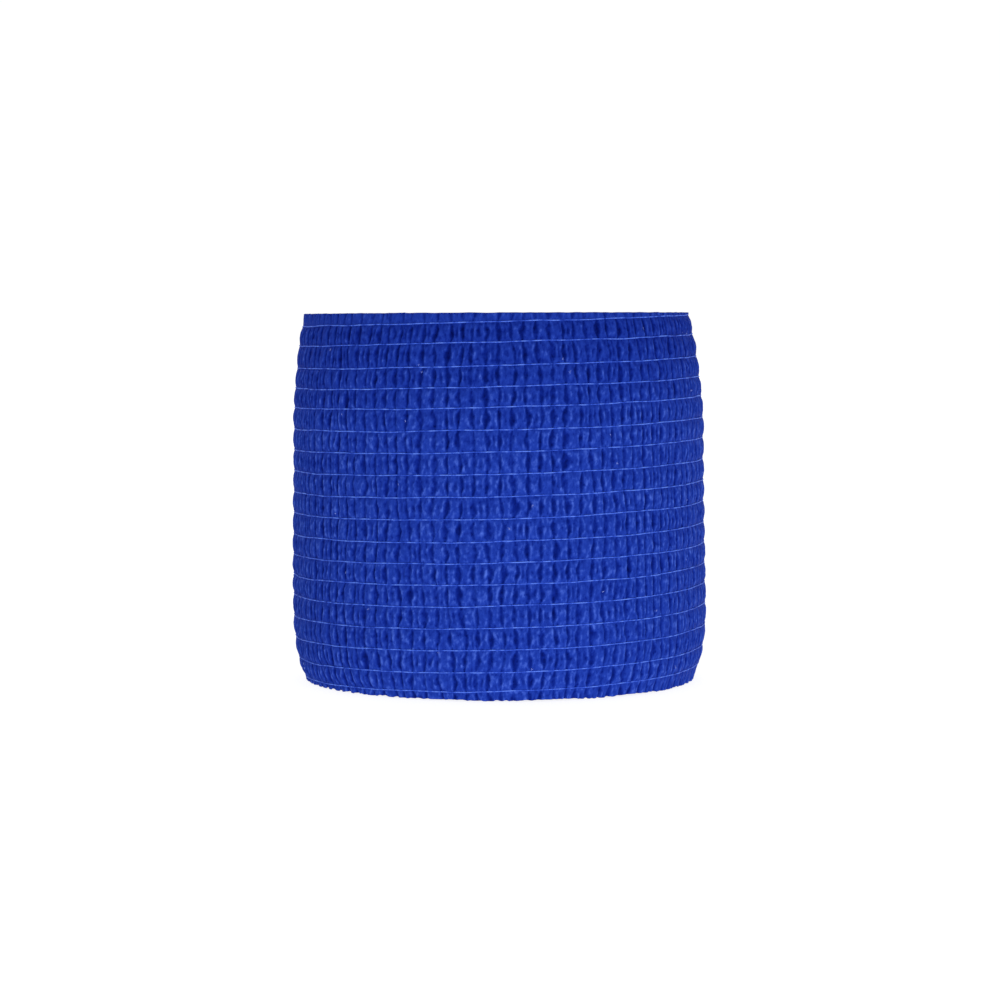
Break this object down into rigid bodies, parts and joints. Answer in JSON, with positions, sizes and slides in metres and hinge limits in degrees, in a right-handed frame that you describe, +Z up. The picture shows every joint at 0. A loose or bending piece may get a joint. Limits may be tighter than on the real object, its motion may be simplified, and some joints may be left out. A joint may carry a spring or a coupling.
{
  "type": "cohesive bandage roll",
  "caption": "Roll of crinkled elastic cohesive bandage standing on end, wound without a core, with fine light threads round it and a narrow open eye.",
  "frame": {"origin": "middle of the flat lower end, on the surface that the roll stands on", "axes": "+Z up along the winding axis, -Y towards the front of the picture's view, +X to its right"},
  "size_m": [0.057, 0.0574, 0.05],
  "materials": {
    "crinkled_cloth": "matte crinkled nonwoven in royal blue, with fine light elastic threads"
  },
  "bodies": {
    "root": {"bandage_roll": "crinkled_cloth"}
  },
  "joints": []
}
